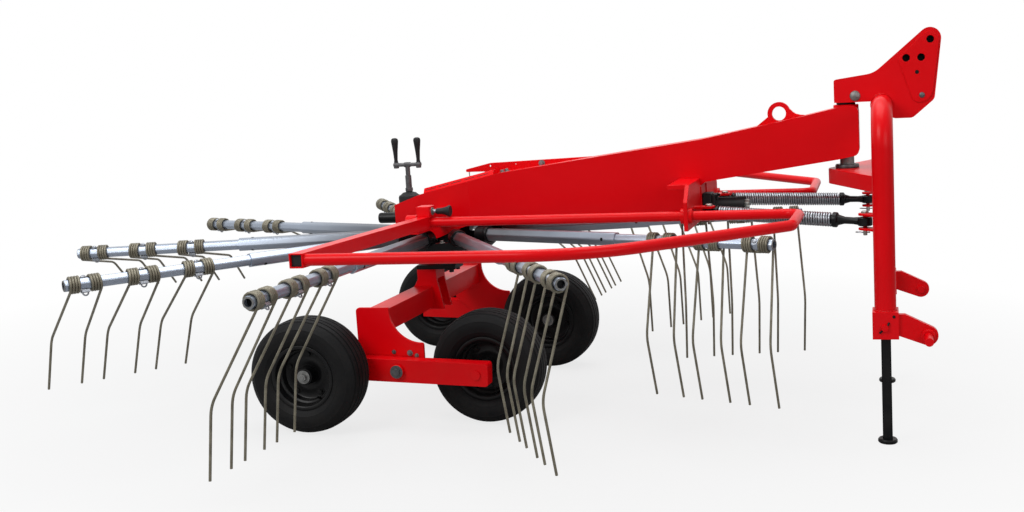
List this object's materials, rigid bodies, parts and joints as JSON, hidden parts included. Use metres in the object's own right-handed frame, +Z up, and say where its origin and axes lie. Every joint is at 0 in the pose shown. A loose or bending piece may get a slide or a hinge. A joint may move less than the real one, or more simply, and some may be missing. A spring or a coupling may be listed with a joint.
{
  "type": "single rotor hay rake",
  "caption": "Three point mounted rotary hay rake with sprung tine arms round one cam rotor, a swinging headstock and tandem wheels.",
  "frame": {"origin": "on the ground, under the middle of the machine's bounding box", "axes": "+X towards the tractor, +Y to the machine's left, +Z up"},
  "size_m": [3.308, 2.8227, 1.3697],
  "materials": {
    "red_paint": "glossy machine red",
    "galvanised": "zinc dipped steel tube",
    "tine_wire": "zinc and bronze coloured spring wire",
    "spring_zinc": "bright zinc spring",
    "black_paint": "satin black",
    "black_plastic": "matte black moulding",
    "tyre": "black rubber",
    "pin_steel": "zinc plated pin"
  },
  "bodies": {
    "frame": {"main_beam": "red_paint", "gear_case": "black_paint", "crossbar": "red_paint", "drive_input": "black_plastic", "undercarriage": "red_paint", "height_adjuster": "black_plastic", "storage_rail": "red_paint", "kingpin": "pin_steel", "guard_lugs": "red_paint", "rocker_left": "red_paint", "rocker_right": "red_paint"},
    "headstock": {"headstock_tube": "red_paint", "mast": "red_paint", "yoke": "red_paint", "lower_hitch": "red_paint"},
    "rotor": {"rotor_hub": "black_paint", "inner_arms": "galvanised", "outer_arms": "galvanised", "tines_1": "tine_wire", "tines_2": "tine_wire", "tines_3": "tine_wire", "tines_4": "tine_wire", "tines_5": "tine_wire", "tines_6": "tine_wire", "tines_7": "tine_wire", "tines_8": "tine_wire", "tines_9": "tine_wire", "tines_10": "tine_wire"},
    "strut_left": {"strut_tube_left": "black_paint", "strut_spring_left": "spring_zinc"},
    "strut_rod_left": {"strut_rod_left": "black_paint"},
    "strut_right": {"strut_tube_right": "black_paint", "strut_spring_right": "spring_zinc"},
    "strut_rod_right": {"strut_rod_right": "black_paint"},
    "guard_left": {"guard_left": "red_paint"},
    "stand_left": {"stand_left": "black_paint"},
    "wheel_rear_left": {"rim_rear_left": "black_paint", "tyre_rear_left": "tyre"},
    "wheel_front_left": {"rim_front_left": "black_paint", "tyre_front_left": "tyre"},
    "guard_right": {"guard_right": "red_paint"},
    "stand_right": {"stand_right": "black_paint"},
    "wheel_rear_right": {"rim_rear_right": "black_paint", "tyre_rear_right": "tyre"},
    "wheel_front_right": {"rim_front_right": "black_paint", "tyre_front_right": "tyre"}
  },
  "joints": [
    {"name": "rotor_spin", "type": "hinge", "parent": "frame", "child": "rotor", "pos_m": [-0.192, 0, 0.61], "axis": [-0.0436, 0, 0.999], "continuous": true},
    {"name": "headstock_swing", "type": "hinge", "parent": "frame", "child": "headstock", "pos_m": [1.33364, 0, 0.8808], "axis": [-0.0436, 0, 0.999], "range_deg": [-15, 15], "stiffness_Nm_per_rad": 400},
    {"name": "strut_turn_left", "type": "hinge", "parent": "frame", "child": "strut_left", "pos_m": [0.8685, 0.215, 0.73638], "axis": [-0.0436, 0, 0.999], "range_deg": [-6, 6]},
    {"name": "strut_slide_left", "type": "slide", "parent": "strut_left", "child": "strut_rod_left", "axis": [0.9758, 0.2186, -0.0084], "range_m": [-0.085, 0.085], "deforming": ["strut_spring_left"]},
    {"name": "strut_turn_right", "type": "hinge", "parent": "frame", "child": "strut_right", "pos_m": [0.8685, -0.215, 0.73638], "axis": [-0.0436, 0, 0.999], "range_deg": [-6, 6]},
    {"name": "strut_slide_right", "type": "slide", "parent": "strut_right", "child": "strut_rod_right", "axis": [0.9758, -0.2186, -0.0084], "range_m": [-0.085, 0.085], "deforming": ["strut_spring_right"]},
    {"name": "guard_fold_left", "type": "hinge", "parent": "frame", "child": "guard_left", "pos_m": [-0.18567, 0.34, 0.69436], "axis": [0.999, 0, 0.0436], "range_deg": [0, 88]},
    {"name": "stand_slide_left", "type": "slide", "parent": "headstock", "child": "stand_left", "axis": [-0.0436, 0, 0.999], "range_m": [0, 0.23]},
    {"name": "wheel_rear_left_spin", "type": "hinge", "parent": "frame", "child": "wheel_rear_left", "pos_m": [-0.458, 0.64, 0.201], "axis": [0, 1, 0], "continuous": true},
    {"name": "wheel_front_left_spin", "type": "hinge", "parent": "frame", "child": "wheel_front_left", "pos_m": [0.114, 0.4, 0.201], "axis": [0, 1, 0], "continuous": true},
    {"name": "guard_fold_right", "type": "hinge", "parent": "frame", "child": "guard_right", "pos_m": [-0.18567, -0.34, 0.69436], "axis": [-0.999, 0, -0.0436], "range_deg": [0, 88]},
    {"name": "stand_slide_right", "type": "slide", "parent": "headstock", "child": "stand_right", "axis": [-0.0436, 0, 0.999], "range_m": [0, 0.23]},
    {"name": "wheel_rear_right_spin", "type": "hinge", "parent": "frame", "child": "wheel_rear_right", "pos_m": [-0.458, -0.64, 0.201], "axis": [0, 1, 0], "continuous": true},
    {"name": "wheel_front_right_spin", "type": "hinge", "parent": "frame", "child": "wheel_front_right", "pos_m": [0.114, -0.4, 0.201], "axis": [0, 1, 0], "continuous": true}
  ],
  "couplings": [
    {"joint": "strut_turn_left", "follows": "headstock_swing", "ratio": 0.24073},
    {"joint": "strut_slide_left", "follows": "headstock_swing", "m_per_rad": -0.31128},
    {"joint": "strut_turn_right", "follows": "headstock_swing", "ratio": 0.24073},
    {"joint": "strut_slide_right", "follows": "headstock_swing", "m_per_rad": 0.31128}
  ]
}
